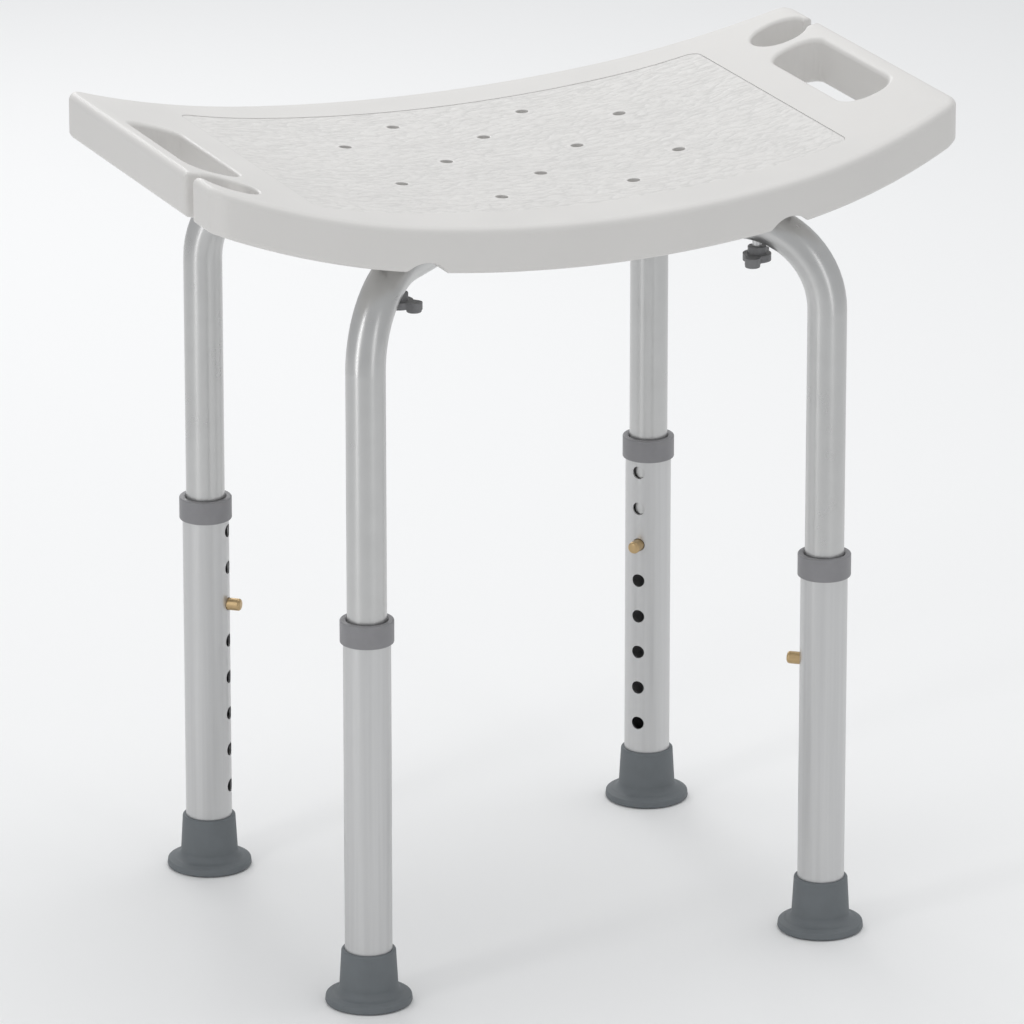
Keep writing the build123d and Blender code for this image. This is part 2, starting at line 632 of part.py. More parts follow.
def make_spring_clip(leg):
    """The V of spring steel in the upper tube: one arm is behind the button, the other on the far wall."""
    arm = BUTTON_SEAT - BUTTON_FLANGE - CLIP_THICKNESS / 2
    foot_z = BUTTON_Z - CLIP_FOOT
    crown_z = BUTTON_Z + CLIP_CROWN
    crown = 2.0                     # half width of the bend
    straight = 9.0                  # the arm behind the button stays straight this far up
    with BuildPart() as clip:
        with BuildSketch(leg_section(leg)):
            with BuildLine() as strip:
                FilletPolyline((arm, foot_z), (arm, BUTTON_Z + straight), (crown, crown_z),
                               (-crown, crown_z), (-CLIP_BACK, BUTTON_Z + straight), (-CLIP_BACK, foot_z),
                               radius=CLIP_BEND)
            trace(strip.wires()[0], line_width=CLIP_THICKNESS)
        extrude(amount=CLIP_WIDTH / 2, both=True)
    save(f"spring_clip_{leg}", clip)


# ---- build ----------------------------------------------------------------------------------

os.makedirs("parts", exist_ok=True)
make_seat()
make_cross_tube("cross_tube_upper", "front_left", FLAT_LIFT)
make_cross_tube("cross_tube_lower", "front_right", -FLAT_LIFT)
make_crossing_rivet()
for leg in LEGS:
    make_insert(leg)
    make_knob(leg)
    make_stud(leg)
    make_lower_tube(leg)
    make_collar(leg)
    make_foot(leg)
    make_foot_washer(leg)
    make_glide(leg)
    make_button(leg)
    make_spring_clip(leg)
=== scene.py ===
# %% [markdown]
# # A shower stool with telescopic legs
#
# The engineering model gives every part its size and place. This script gives the parts their
# finished look: a soft-edged moulded seat with a grained panel, bent satin tubes, drilled legs,
# rubber feet, and a surface of its own for each. Everything is in metres, and +Z is up.

# %% Load the frame
import json
import math

import bmesh
import bpy
from mathutils import Matrix, Vector, noise


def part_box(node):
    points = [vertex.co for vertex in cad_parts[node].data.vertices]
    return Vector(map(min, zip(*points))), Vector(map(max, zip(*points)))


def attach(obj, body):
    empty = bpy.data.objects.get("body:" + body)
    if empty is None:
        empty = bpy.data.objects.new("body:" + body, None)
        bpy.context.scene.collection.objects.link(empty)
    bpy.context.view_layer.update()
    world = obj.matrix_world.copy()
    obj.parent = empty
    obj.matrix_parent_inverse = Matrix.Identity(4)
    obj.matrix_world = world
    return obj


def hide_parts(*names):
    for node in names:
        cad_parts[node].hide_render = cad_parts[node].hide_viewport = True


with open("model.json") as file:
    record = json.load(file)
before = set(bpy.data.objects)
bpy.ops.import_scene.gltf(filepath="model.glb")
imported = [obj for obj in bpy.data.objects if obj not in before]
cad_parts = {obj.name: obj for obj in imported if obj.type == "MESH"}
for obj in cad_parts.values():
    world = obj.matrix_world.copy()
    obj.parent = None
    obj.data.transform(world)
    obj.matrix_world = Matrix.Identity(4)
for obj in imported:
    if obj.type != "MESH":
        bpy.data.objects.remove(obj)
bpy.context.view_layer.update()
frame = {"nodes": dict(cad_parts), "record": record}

# %% [markdown]
# ## The camera
#
# The stool is looked at from far away with a long lens, a little from the left and from above, as
# in a catalogue. A camera has a place and a direction: here both follow from two angles, the
# distance and the point that it looks at.

# %% Camera
VIEW_AZIMUTH = math.radians(-24.02)         # 0 looks along +Y, positive turns towards -X
VIEW_ELEVATION = math.radians(18.5)
VIEW_DISTANCE = 5.6654
VIEW_TARGET = Vector((0, 0, 0.2611))

camera = bpy.data.objects.new("camera", bpy.data.cameras.new("camera"))
bpy.context.scene.collection.objects.link(camera)
camera.data.lens = 311.7
camera.data.sensor_width = 36
camera.data.clip_end = 50
look = Vector((
    -math.sin(VIEW_AZIMUTH) * math.cos(VIEW_ELEVATION),
    math.cos(VIEW_AZIMUTH) * math.cos(VIEW_ELEVATION),
    -math.sin(VIEW_ELEVATION),
))
camera.location = VIEW_TARGET - look * VIEW_DISTANCE
camera.rotation_euler = look.to_track_quat("-Z", "Y").to_euler()
bpy.context.scene.camera = camera
print("camera at", [round(c, 3) for c in camera.location])

# %% [markdown]
# ## The studio
#
# A pale floor, a grey-white room and one large soft light overhead make the broad, quiet shading
# of a catalogue page: the seat's top is the brightest face, and the sides are a step darker. The
# room light is even, so it fills the shadows; the soft light gives the shape.

# %% Floor, room and lights
def paint(name, colour, roughness, metallic=0.0):
    """A new node material. Returns it with its node tree and its surface shader."""
    surface = bpy.data.materials.new(name)
    surface.use_nodes = True
    shader = surface.node_tree.nodes["Principled BSDF"]
    shader.inputs["Base Color"].default_value = (*colour, 1)
    shader.inputs["Roughness"].default_value = roughness
    shader.inputs["Metallic"].default_value = metallic
    surface.diffuse_color = (*colour, 1)
    return surface, surface.node_tree, shader


bpy.ops.object.select_all(action="DESELECT")
FLOOR_SIZE = 24
FLOOR_GAP = 0.0004                          # the floor lies just under the feet
bpy.ops.mesh.primitive_plane_add(size=FLOOR_SIZE, location=(0, 0, -FLOOR_GAP))
floor = bpy.context.object
floor.name = "floor"
floor_paint, _, _ = paint("pale_floor", (0.92, 0.92, 0.92), 0.7)
floor.data.materials.append(floor_paint)

room = bpy.data.worlds.new("room")
bpy.context.scene.world = room
room.use_nodes = True
room.node_tree.nodes["Background"].inputs["Color"].default_value = (0.97, 0.985, 1, 1)
room.node_tree.nodes["Background"].inputs["Strength"].default_value = 0.62


def soft_light(name, place, size, power, target=(0, 0, 0.3)):
    """An area light that faces the stool. The size is its width and its height."""
    lamp = bpy.data.objects.new(name, bpy.data.lights.new(name, "AREA"))
    bpy.context.scene.collection.objects.link(lamp)
    lamp.data.shape = "RECTANGLE"
    lamp.data.size, lamp.data.size_y = size
    lamp.data.energy = power
    lamp.location = place
    lamp.rotation_euler = (Vector(target) - lamp.location).to_track_quat("-Z", "Y").to_euler()


soft_light("overhead_softbox", (0.5, 0.3, 2.6), (2.2, 2.2), 22)
soft_light("back_softbox", (0.2, 2.3, 1.35), (1.0, 0.5), 9, (0, 0, 0.5))
soft_light("left_strip", (-1.5, -0.5, 0.75), (0.25, 1.7), 3.6, (-0.12, -0.05, 0.4))
soft_light("right_strip", (0.35, -1.85, 0.6), (0.3, 1.4), 1.6, (0.16, -0.05, 0.3))
bpy.context.scene.view_settings.view_transform = "Standard"

# %% [markdown]
# ## Small helpers
#
# Blender's operators act on what is selected, so each step starts by selecting exactly what it
# should change. These few helpers do that in code, as a person would by clicking.

# %% Helpers for selecting and shaping
MM = 0.001


def alone(piece):
    """Make this the only selected object, and the active one."""
    bpy.ops.object.select_all(action="DESELECT")
    piece.select_set(True)
    bpy.context.view_layer.objects.active = piece
    return piece


def new_piece(name):
    """Name the primitive that was just added, and move its place and scale into its mesh."""
    piece = bpy.context.object
    piece.name = name
    piece.data.name = name
    bpy.ops.object.transform_apply(location=True, rotation=True, scale=True)
    return piece


def pick(kind, rule):
    """In edit mode, select the vertices, edges or faces that the rule accepts."""
    bpy.ops.mesh.select_mode(type=kind)
    bpy.ops.mesh.select_all(action="DESELECT")
    mesh = bpy.context.object.data
    shape = bmesh.from_edit_mesh(mesh)
    parts = {"VERT": shape.verts, "EDGE": shape.edges, "FACE": shape.faces}[kind]
    chosen = [part for part in parts if rule(part)]
    for part in chosen:
        part.select_set(True)
    shape.select_flush_mode()
    bmesh.update_edit_mesh(mesh)
    return len(chosen)


def middle(edge):
    return (edge.verts[0].co + edge.verts[1].co) / 2


def upright(edge):
    """True for an edge that runs straight up."""
    run = edge.verts[1].co - edge.verts[0].co
    return abs(run.z) > 0.95 * run.length


def apply_modifiers(piece):
    alone(piece)
    for modifier in list(piece.modifiers):
        bpy.ops.object.modifier_apply(modifier=modifier.name)


def carve(piece, *cutters):
    """Cut each cutter's shape out of the piece, and throw the cutter away."""
    for cutter in cutters:
        cutting = piece.modifiers.new("carve", "BOOLEAN")
        cutting.operation = "DIFFERENCE"
        cutting.solver = "EXACT"
        cutting.object = cutter
        apply_modifiers(piece)
        bpy.data.objects.remove(cutter)


def join(pieces):
    """Join pieces into the first one."""
    bpy.ops.object.select_all(action="DESELECT")
    for part in pieces:
        part.select_set(True)
    bpy.context.view_layer.objects.active = pieces[0]
    bpy.ops.object.join()
    return pieces[0]


def box(name, low, high):
    """A box between two corners."""
    bpy.ops.object.select_all(action="DESELECT")
    low, high = Vector(low), Vector(high)
    bpy.ops.mesh.primitive_cube_add(size=1, location=(low + high) / 2, scale=high - low)
    return new_piece(name)


def tidy_mesh(piece, gap=1e-6):
    """Merge points that coincide, and turn every face outwards."""
    alone(piece)
    bpy.ops.object.mode_set(mode="EDIT")
    bpy.ops.mesh.select_all(action="SELECT")
    bpy.ops.mesh.remove_doubles(threshold=gap)
    bpy.ops.mesh.normals_make_consistent(inside=False)
    bpy.ops.object.mode_set(mode="OBJECT")


def soften(piece, angle=35):
    """Smooth shading, with a crease where faces meet more sharply than the angle."""
    alone(piece)
    bpy.ops.object.shade_smooth_by_angle(angle=math.radians(angle))


def triangles(piece):
    return sum(len(face.vertices) - 2 for face in piece.data.polygons)


def open_edges(piece):
    """How many edges don't have exactly two faces: none on a closed, sound mesh."""
    shape = bmesh.new()
    shape.from_mesh(piece.data)
    count = sum(1 for edge in shape.edges if not edge.is_manifold)
    shape.free()
    return count


def finished(piece, body, slot, *nodes):
    """Put a piece on its body, in place of the nodes that it stands for. The slot argument is not used."""
    piece.location = (0, 0, 0)
    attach(piece, body)
    if nodes:
        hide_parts(*nodes)
    print(f"{piece.name}: {triangles(piece)} triangles, {open_edges(piece)} open edges")


# %% [markdown]
# ## The seat: outline and slab
#
# The real seat is one blow-moulded body: long edges that bow outwards, a top that dips in the
# middle like a saddle, and soft edges all round. A saddle is hard to round and cut, so it is
# first made flat: a plane gets its bowed outline and rounded corners, and is pulled down into a
# slab. The saddle comes last, as a lift of every point.

# %% Seat sizes
seat_low, seat_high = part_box("seat")
HALF_LENGTH = seat_high.x
HALF_WIDTH = seat_high.y
SEAT_TOP = 499 * MM                         # at the middle
THICKNESS = 29.5 * MM
SEAT_BOTTOM = SEAT_TOP - THICKNESS
SADDLE = (120 * MM, 1014 * MM, 534 * MM)    # half length of the middle arc, its radius, end radius
BOW = (121.6 * MM, 1396 * MM, 620 * MM)     # the same for the long edges, seen from above


def rise(x, curve):
    """How far a two-arc curve has left its level at the distance x from the middle."""
    reach, radius, end_radius = curve
    x = abs(x)
    if x <= reach:
        return radius - math.sqrt(radius**2 - x**2)
    slope = reach / radius
    level = math.sqrt(1 - slope**2)
    centre_x = reach - end_radius * slope
    centre_z = radius - radius * level + end_radius * level
    return centre_z - math.sqrt(end_radius**2 - (x - centre_x) ** 2)


# %% Seat slab
bpy.ops.object.select_all(action="DESELECT")
bpy.ops.mesh.primitive_plane_add(size=2, location=(0, 0, SEAT_TOP))
bpy.context.object.scale = (HALF_LENGTH, HALF_WIDTH, 1)
seat = new_piece("seat_shell")

bpy.ops.object.mode_set(mode="EDIT")
pick("EDGE", lambda edge: abs(abs(middle(edge).y) - HALF_WIDTH) < MM)
bpy.ops.mesh.subdivide(number_cuts=39)
bpy.ops.object.mode_set(mode="OBJECT")
for point in seat.data.vertices:
    point.co.y -= math.copysign(rise(point.co.x, BOW), point.co.y)
bpy.ops.object.mode_set(mode="EDIT")
bpy.ops.mesh.select_all(action="SELECT")
bpy.ops.mesh.dissolve_faces()
CORNER = 11.5 * MM
pick("VERT", lambda point: abs(point.co.x) > HALF_LENGTH - 0.01 * MM)
bpy.ops.mesh.bevel(offset=CORNER, segments=10, affect="VERTICES", profile=0.5)
bpy.ops.mesh.select_all(action="SELECT")
bpy.ops.mesh.extrude_region_move(TRANSFORM_OT_translate={"value": (0, 0, -THICKNESS)})
bpy.ops.object.mode_set(mode="OBJECT")
tidy_mesh(seat)
print("slab:", len(seat.data.vertices), "points,", open_edges(seat), "open edges")

# %% [markdown]
# ## The seat: soft outer edge
#
# A bevel rounds the outline while the slab is still a plain one, because a bevel likes simple
# corners. The top edge is rounder than the bottom one, so each edge gets a weight, as a share of
# the widest bevel.

# %% Outer edge
TOP_EDGE = 5 * MM
BOTTOM_EDGE = 4 * MM


def weigh_edges(piece, width_at, widest):
    """Give every level edge with a sharp fold a bevel weight, as a share of the widest bevel."""
    shape = bmesh.new()
    shape.from_mesh(piece.data)
    weight = shape.edges.layers.float.new("bevel_weight_edge")
    for edge in shape.edges:
        if edge.calc_face_angle() > math.radians(60) and not upright(edge):
            edge[weight] = width_at(middle(edge)) / widest
    shape.to_mesh(piece.data)
    shape.free()


weigh_edges(seat, lambda spot: TOP_EDGE if spot.z > SEAT_TOP - THICKNESS / 2 else BOTTOM_EDGE, TOP_EDGE)
rounding = seat.modifiers.new("rounding", "BEVEL")
rounding.limit_method = "WEIGHT"
rounding.width = TOP_EDGE
rounding.segments = 7
rounding.use_clamp_overlap = False
apply_modifiers(seat)
tidy_mesh(seat)
print("outer edge rounded:", len(seat.data.vertices), "points,", open_edges(seat), "open edges")

# %% [markdown]
# ## The seat: hand slots, holders, drains and the panel's recess
#
# A hole with a rounded rim can be cut in one go if the cutter itself is flared, like a cotton
# reel. Each cutter starts as a flat outline, larger than the hole by the rim's radius. Insetting
# it in small steps while it rises follows a quarter circle; a mirror makes the other half.

# %% Flared cutters
def rounded_plate(size, corner, height):
    """A flat plate with rounded corners, at a height."""
    bpy.ops.object.select_all(action="DESELECT")
    bpy.ops.mesh.primitive_plane_add(size=1, location=(0, 0, height))
    bpy.context.object.scale = (size[0], size[1], 1)
    plate = new_piece("cutter")
    bpy.ops.object.mode_set(mode="EDIT")
    bpy.ops.mesh.select_all(action="SELECT")
    bpy.ops.mesh.bevel(offset=corner, segments=12, affect="VERTICES", profile=0.5)
    bpy.ops.object.mode_set(mode="OBJECT")
    return plate


def disc(radius, height, points=48):
    bpy.ops.object.select_all(action="DESELECT")
    bpy.ops.mesh.primitive_circle_add(vertices=points, radius=radius, fill_type="NGON",
                                      location=(0, 0, height))
    return new_piece("cutter")


def flare(plate, rim, half_height, place, turn=0, steps=6, overrun=MM):
    """Turn a flat outline into a reel-shaped cutter: wide at both ends, by the rim's radius."""
    alone(plate)
    bpy.ops.object.mode_set(mode="EDIT")
    bpy.ops.mesh.select_all(action="SELECT")
    bpy.ops.mesh.extrude_region_move(TRANSFORM_OT_translate={"value": (0, 0, overrun)})
    for step in range(steps):
        angle = math.radians(90) * step / steps
        next_angle = math.radians(90) * (step + 1) / steps
        bpy.ops.mesh.inset(thickness=rim * (math.sin(next_angle) - math.sin(angle)),
                           depth=rim * (math.cos(angle) - math.cos(next_angle)))
    bpy.ops.mesh.extrude_region_move(
        TRANSFORM_OT_translate={"value": (0, 0, half_height - rim)})
    bpy.ops.mesh.delete(type="FACE")
    bpy.ops.object.mode_set(mode="OBJECT")
    for point in plate.data.vertices:
        point.co.z = min(point.co.z, 0)
    other_half = plate.modifiers.new("other_half", "MIRROR")
    other_half.use_axis = (False, False, True)
    other_half.merge_threshold = 1e-5
    apply_modifiers(plate)
    tidy_mesh(plate)
    plate.data.transform(Matrix.Rotation(turn, 4, "Z") @ Matrix.Translation(place))
    return plate


def reel(outline, rim, half_height, place, turn=0):
    """A flared cutter at a place, turned about the stool's middle. outline(rim, z) is its lower end."""
    return flare(outline(rim, -half_height - MM), rim, half_height, place, turn)


# %% Hand slots
GRIP_X = 223 * MM
GRIP = (34 * MM, 120 * MM)
GRIP_CORNER = 15 * MM
GRIP_RIM = 3 * MM
seat_middle = SEAT_TOP - THICKNESS / 2

for side in (-1, 1):
    slot = reel(lambda rim, z: rounded_plate((GRIP[0] + 2 * rim, GRIP[1] + 2 * rim), GRIP_CORNER + rim, z),
                GRIP_RIM, THICKNESS / 2, (side * GRIP_X, 0, seat_middle))
    carve(seat, slot)
tidy_mesh(seat)
print("hand slots cut:", len(seat.data.vertices), "points,", open_edges(seat), "open edges")

# %% [markdown]
# Two opposite corners hold a hand shower: a round pocket with a narrow mouth out through the end
# of the seat. The mouth's cutter is a bar with a wide head outside the seat. Rounding the two
# inner corners of that T rounds the mouth's corners.

# %% Shower-head holders
HOLDER = Vector((229 * MM, 89 * MM, 0))
HOLDER_RADIUS = 18 * MM
HOLDER_RIM = 2.5 * MM
MOUTH_Y = 84 * MM
MOUTH_WIDTH = 12 * MM
MOUTH_CORNER = 3.6 * MM
MOUTH_HEAD = 20 * MM


def mouth_plate(rim, height):
    """The plan of a mouth, grown by its rim: a bar from the pocket, with a wide head outside."""
    bpy.ops.object.select_all(action="DESELECT")
    end = HALF_LENGTH - rim + 0.02 * MM
    bpy.ops.mesh.primitive_plane_add(size=1, location=((HOLDER.x + end) / 2, 0, height))
    bpy.context.object.scale = (end - HOLDER.x, MOUTH_WIDTH + 2 * rim, 1)
    plate = new_piece("cutter")
    bpy.ops.object.mode_set(mode="EDIT")
    pick("EDGE", lambda edge: middle(edge).x > end - 0.1 * MM)
    bpy.ops.mesh.extrude_region_move(TRANSFORM_OT_translate={"value": (0, 0, 0)})
    bpy.ops.transform.resize(value=(1, 3, 1), center_override=(end, 0, height))
    bpy.ops.mesh.extrude_region_move(TRANSFORM_OT_translate={"value": (MOUTH_HEAD, 0, 0)})
    bpy.ops.mesh.select_all(action="SELECT")
    bpy.ops.mesh.dissolve_faces()
    pick("VERT", lambda point: abs(point.co.x - end) < 0.1 * MM
         and abs(point.co.y) < MOUTH_WIDTH / 2 + rim + 0.1 * MM)
    bpy.ops.mesh.bevel(offset=MOUTH_CORNER - rim, segments=6, affect="VERTICES", profile=0.5)
    bpy.ops.object.mode_set(mode="OBJECT")
    return plate


for turn in (0, math.pi):
    pocket = reel(lambda rim, z: disc(HOLDER_RADIUS + rim, z, 96), HOLDER_RIM, THICKNESS / 2,
                  (HOLDER.x, HOLDER.y, seat_middle), turn)
    mouth = reel(mouth_plate, HOLDER_RIM, THICKNESS / 2, (0, MOUTH_Y, seat_middle), turn)
    carve(seat, pocket, mouth)
tidy_mesh(seat)
print("holders cut:", len(seat.data.vertices), "points,", open_edges(seat), "open edges")

# %% [markdown]
# Twelve small drains go right through, in a pattern that is the same in all four quarters. The
# panel sits in a shallow recess. Both the recess and the panel are slabs made by one function, as
# a grid in the panel's outline, so they fit together.

# %% Drains and recess
DRAIN_RADIUS = 4 * MM
DRAIN_RIM = 0.7 * MM
DRAINS = [(0, 44.3), (45, 0), (45, 85.5), (95, 45)]     # one quarter, in millimetres
drain_places = sorted({(sx * x * MM, sy * y * MM) for x, y in DRAINS for sx in (-1, 1) for sy in (-1, 1)})
PANEL_LENGTH = 181 * MM                     # half of it
PANEL_WIDTH = 119.5 * MM                    # half of it, at the middle
PANEL_BOW = 6.5 * MM                        # the long sides come in by this much at the ends
PANEL_CORNER = 8 * MM
RECESS = 1.0 * MM


def panel_edge(x, shrink=0.0):
    """Half the panel's width at x, with its rounded corners."""
    length = PANEL_LENGTH - shrink
    corner = PANEL_CORNER - shrink
    width = PANEL_WIDTH - shrink - PANEL_BOW * (x / PANEL_LENGTH) ** 2
    into_corner = max(abs(x) - (length - corner), 0)
    return width - (corner - math.sqrt(max(corner**2 - into_corner**2, 0)))


def panel_columns(length, corner, pitch):
    """Places along X: evenly spaced, and closer together round the corners."""
    arc = [length - corner + corner * math.sin(math.radians(90) * k / 9) for k in range(10)]
    count = round((length - corner) / pitch)
    half = [(length - corner) * k / count for k in range(count)] + arc
    return [-x for x in reversed(half[1:])] + half


def panel_slab(name, shrink, top, bottom, pitch, rows):
    """A slab in the panel's outline, as a grid of even columns and rows."""
    columns = panel_columns(PANEL_LENGTH - shrink, PANEL_CORNER - shrink, pitch)
    bpy.ops.object.select_all(action="DESELECT")
    bpy.ops.mesh.primitive_grid_add(x_subdivisions=len(columns) - 1, y_subdivisions=rows, size=2)
    slab = new_piece(name)
    for point in slab.data.vertices:
        column = columns[round((point.co.x + 1) / 2 * (len(columns) - 1))]
        point.co = (column, point.co.y * panel_edge(column, shrink), top)
    bpy.ops.object.mode_set(mode="EDIT")
    bpy.ops.mesh.select_all(action="SELECT")
    bpy.ops.mesh.extrude_region_move(TRANSFORM_OT_translate={"value": (0, 0, bottom - top)})
    bpy.ops.object.mode_set(mode="OBJECT")
    tidy_mesh(slab)
    return slab


def drill(piece, radius, rim, half_height, height):
    """Cut all twelve drains out of a piece."""
    drills = [reel(lambda rim, z: disc(radius + rim, z), rim, half_height, (x, y, height))
              for x, y in drain_places]
    carve(piece, join(drills))


recess = panel_slab("recess", 0, SEAT_TOP + MM, SEAT_TOP - RECESS, 12 * MM, 1)
carve(seat, recess)
drill(seat, DRAIN_RADIUS, DRAIN_RIM, THICKNESS / 2, seat_middle)
tidy_mesh(seat)
print("drains and recess cut:", len(seat.data.vertices), "points,", open_edges(seat), "open edges")

# %% [markdown]
# ## The seat: saddle and underside
#
# Now the slab is sliced across every few millimetres, so that it can bend, and each point is
# lifted by the saddle's height at its place. The channels for the tubes are cut last, because
# they are level on the real seat and don't follow the saddle.

# %% Saddle
SLICES = 120                                # across the seat
ROW_PITCH = 15 * MM                         # between the cuts along it
ROW_SHIFT = 0.37                            # keeps those cuts clear of the drains' middles
alone(seat)
bpy.ops.object.mode_set(mode="EDIT")
for number in range(1, SLICES):
    bpy.ops.mesh.select_all(action="SELECT")
    place = -HALF_LENGTH + 2 * HALF_LENGTH * number / SLICES
    bpy.ops.mesh.bisect(plane_co=(place, 0, 0), plane_no=(1, 0, 0))
for number in range(-9, 10):
    bpy.ops.mesh.select_all(action="SELECT")
    bpy.ops.mesh.bisect(plane_co=(0, (number + ROW_SHIFT) * ROW_PITCH, 0), plane_no=(0, 1, 0))
bpy.ops.object.mode_set(mode="OBJECT")
tidy_mesh(seat)


END_STOP = 247.9 * MM                       # the rounding at the ends starts here


def lift(piece):
    """Bend a flat piece to the saddle. The rounded ends are eased down, so that they stay round."""
    for point in piece.data.vertices:
        level = rise(point.co.x, SADDLE)
        past = max(level - rise(END_STOP, SADDLE), 0)
        height = (point.co.z - SEAT_BOTTOM) / THICKNESS
        point.co.z += level - past * (0.6 + 0.4 * height)


lift(seat)
print("saddle:", len(seat.data.vertices), "points,", open_edges(seat), "open edges")

# %% Channels, crossing pocket and arches
leg_low, leg_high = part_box("lower_tube_back_right")
LEG = (leg_low + leg_high) / 2              # axis of the back right leg
REACH = math.hypot(LEG.x, LEG.y)
DIAGONAL = math.atan2(LEG.y, LEG.x)
RUN_Z = 469 * MM
CHANNEL_RADIUS = 13 * MM
CHANNEL_REACH = 186 * MM
POCKET = (47 * MM, 18 * MM)                 # half length and half width of the crossing pocket
POCKET_TOP = RUN_Z + CHANNEL_RADIUS + 0.05 * MM         # just clear of the channels' roofs
ARCH_X, ARCH_Z, ARCH_RADIUS = 124 * MM, 467.3 * MM, 17 * MM
ARCH_START = 100 * MM
RIVET_POCKET = (7.5 * MM, 486 * MM)         # radius and top
BELOW = SEAT_BOTTOM - 0.03


def tunnel(radius, start, end, height, side_points=48):
    """A cutter with a round roof, open downwards, along X from start to end."""
    bpy.ops.object.select_all(action="DESELECT")
    bpy.ops.mesh.primitive_cylinder_add(
        vertices=side_points, radius=radius, depth=end - start,
        location=((start + end) / 2, 0, height), rotation=(0, math.radians(90), 0))
    roof = new_piece("tunnel")
    for point in roof.data.vertices:
        if point.co.z < height - 0.1 * MM:
            point.co.z = BELOW
            point.co.y = math.copysign(radius, point.co.y)
    tidy_mesh(roof)
    return roof


for turn in (DIAGONAL, -DIAGONAL):
    channel = tunnel(CHANNEL_RADIUS, -CHANNEL_REACH, CHANNEL_REACH, RUN_Z)
    channel.data.transform(Matrix.Rotation(turn, 4, "Z"))
    pocket = box("pocket", (-POCKET[0], -POCKET[1], BELOW),
                 (POCKET[0], POCKET[1], POCKET_TOP))
    pocket.data.transform(Matrix.Rotation(turn, 4, "Z"))
    carve(seat, channel, pocket)
for side_x in (-1, 1):
    for side_y in (-1, 1):
        arch = tunnel(ARCH_RADIUS, ARCH_START, HALF_WIDTH + 0.02, ARCH_Z, 64)
        arch.data.transform(Matrix.Rotation(math.radians(90) * side_y, 4, "Z"))
        arch.data.transform(Matrix.Translation((side_x * ARCH_X, 0, 0)))
        carve(seat, arch)
bpy.ops.object.select_all(action="DESELECT")
bpy.ops.mesh.primitive_cylinder_add(vertices=48, radius=RIVET_POCKET[0], depth=0.05,
                                    location=(0, 0, RIVET_POCKET[1] - 0.025))
carve(seat, new_piece("rivet_room"))
tidy_mesh(seat)
soften(seat, 38)
even = seat.modifiers.new("even_shading", "WEIGHTED_NORMAL")
even.keep_sharp = True
even.weight = 100
apply_modifiers(seat)
print("underside cut:", len(seat.data.vertices), "points,", open_edges(seat), "open edges")

# %% [markdown]
# ## The grained panel
#
# The sitting area has a wrinkled grain, like leather, so that wet skin doesn't slide. The grain
# is real relief: a fine grid is moved up and down by noise that is drawn out along the seat and
# bent by a second, slower noise. It fades out at the panel's edge and round the drains.

# %% Panel
PANEL_GAP = 0.3 * MM
PANEL_TOP = SEAT_TOP - 0.25 * MM
PANEL_BOTTOM = SEAT_TOP - RECESS + 0.1 * MM
GRID_PITCH, GRID_ROWS = 1.4 * MM, 300
GRAIN_DEPTH = 0.50 * MM
GRAIN_SIZE = (11 * MM, 3.6 * MM)            # a wrinkle's length and spacing
# The panel's edge gets a painted shadow line this wide, standing in for the shade of its recess step.
EDGE_SHADOW_LINE = 1.0 * MM                        # a line as wide as this runs round the panel


def grain(x, y):
    """The grain's height at a place, from 0 in a crease to 1."""
    sway = 3.2 * MM * noise.noise((x / 0.021, y / 0.017, 3.1))
    drift = 5.0 * MM * noise.noise((x / 0.030, y / 0.024, 8.7))
    across = (y + sway) / GRAIN_SIZE[1]
    along = (x + drift) / GRAIN_SIZE[0]
    coarse = 1 - min(abs(noise.noise((along, across, 0.5))) * 3.0, 1)
    fine = 1 - min(abs(noise.noise((along * 1.9, across * 1.7, 5.2))) * 3.4, 1)
    return 1 - max(coarse**2, 0.6 * fine**2)


def grain_share(x, y):
    """1 in the open, down to 0 at the panel's edge and beside a drain."""
    edge = min(PANEL_LENGTH - abs(x), panel_edge(x) - abs(y)) / (2 * MM)
    hole = min(math.hypot(x - hx, y - hy) for hx, hy in drain_places) - DRAIN_RADIUS - DRAIN_RIM
    return max(0, min(1, edge, hole / (1.5 * MM)))


panel = panel_slab("grip_panel", PANEL_GAP, PANEL_TOP, PANEL_BOTTOM, GRID_PITCH, GRID_ROWS)

# The underside doesn't show, so its rows are dissolved and only its columns stay.
bpy.ops.object.mode_set(mode="EDIT")
pick("EDGE", lambda edge: middle(edge).z < PANEL_TOP - 0.5 * MM and len(edge.link_faces) == 2
     and abs(edge.verts[0].co.x - edge.verts[1].co.x) > 0.001 * MM
     and all(abs(face.normal.z) > 0.9 for face in edge.link_faces))
bpy.ops.mesh.dissolve_edges(use_verts=True)
bpy.ops.object.mode_set(mode="OBJECT")
for point in panel.data.vertices:
    if point.co.z > PANEL_TOP - 0.01 * MM:
        share = grain_share(point.co.x, point.co.y)
        point.co.z -= GRAIN_DEPTH * share * (1 - grain(point.co.x, point.co.y))
print("grain moved:", len(panel.data.vertices), "points")
drill(panel, DRAIN_RADIUS, DRAIN_RIM, 3 * MM, PANEL_TOP - 3 * MM)


def crease(x, y):
    """1 down in a crease or along the panel's edge, and 0 on the crests. The material paints shade by it:
    shade in the creases, and a shadow line for the panel's step.
    """
    edge = min(PANEL_LENGTH - abs(x), panel_edge(x) - abs(y))
    if edge < EDGE_SHADOW_LINE:
        return 1.0
    return grain_share(x, y) * (1 - grain(x, y))


creases = panel.data.attributes.new("crease", "FLOAT", "POINT")
creases.data.foreach_set("value", [crease(point.co.x, point.co.y) for point in panel.data.vertices])
lift(panel)
soften(panel, 60)
finished(seat, "frame", "seat_plastic", "seat")
finished(panel, "frame", "seat_plastic")

